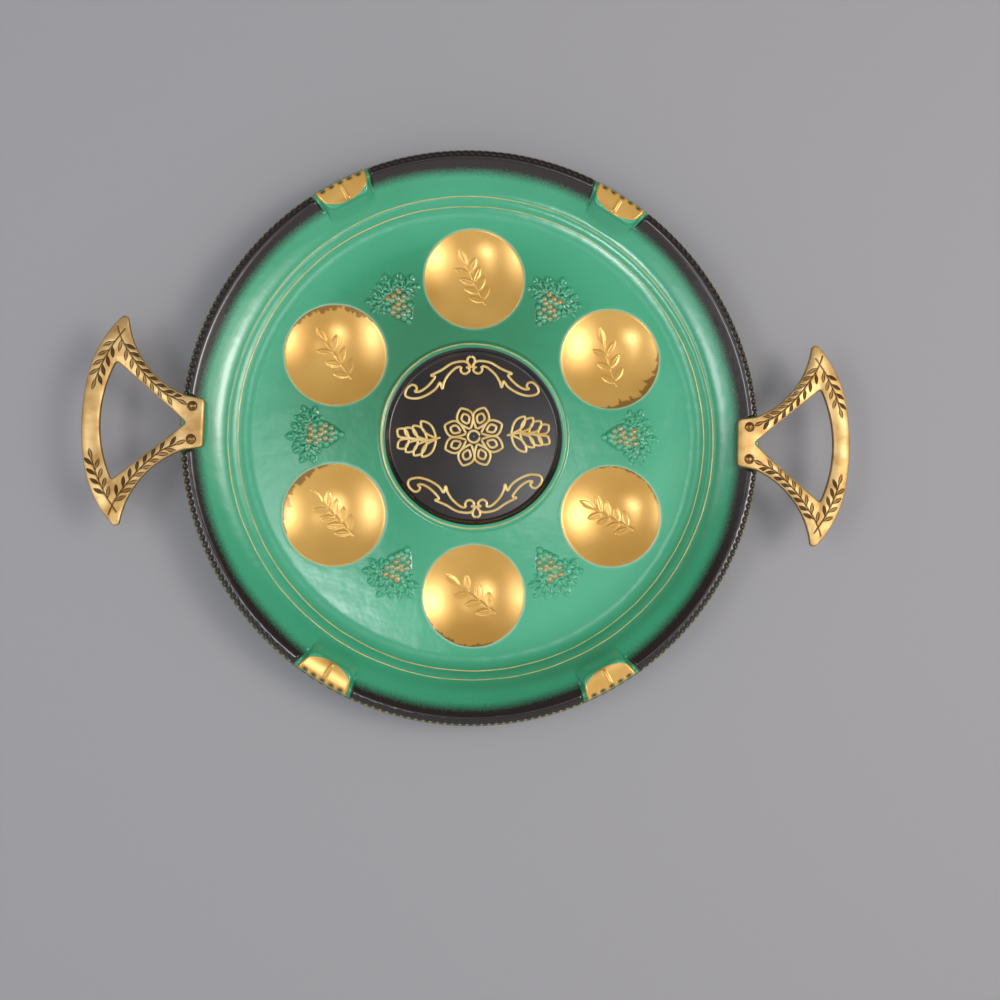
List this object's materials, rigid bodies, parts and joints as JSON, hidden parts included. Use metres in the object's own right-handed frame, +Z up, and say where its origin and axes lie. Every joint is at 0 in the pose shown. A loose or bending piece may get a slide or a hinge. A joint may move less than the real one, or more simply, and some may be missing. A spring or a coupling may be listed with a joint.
{
  "type": "seder plate",
  "caption": "Round glazed ceramic seder plate with sunk food wells, a round centre recess, a raised lipped rim with lugs, and bow-shaped brass handles riveted to the rim.",
  "frame": {"origin": "centre of the foot ring's resting face", "axes": "+Z up; X runs through the two handles, with the right handle at +X"},
  "size_m": [0.436, 0.33, 0.0309],
  "materials": {
    "green_glaze": "gloss",
    "black_glaze": "gloss",
    "gold_lustre": "fired gold, mirror",
    "bare_clay": "unglazed",
    "cast_brass": "polished, dark in the engraving",
    "rivet_metal": "tarnished",
    "burr_brass": "satin",
    "vulcanised_fibre": "matt"
  },
  "bodies": {
    "root": {"fibre_washer_left_front": "vulcanised_fibre", "fibre_washer_left_rear": "vulcanised_fibre", "fibre_washer_right_front": "vulcanised_fibre", "fibre_washer_right_rear": "vulcanised_fibre", "gasket_left": "vulcanised_fibre", "gasket_right": "vulcanised_fibre", "handle_left": "cast_brass", "handle_right": "cast_brass", "plate_body": "green_glaze", "rivet_burr_left_front": "burr_brass", "rivet_burr_left_rear": "burr_brass", "rivet_burr_right_front": "burr_brass", "rivet_burr_right_rear": "burr_brass", "rivet_left_front": "rivet_metal", "rivet_left_rear": "rivet_metal", "rivet_right_front": "rivet_metal", "rivet_right_rear": "rivet_metal"}
  },
  "joints": []
}
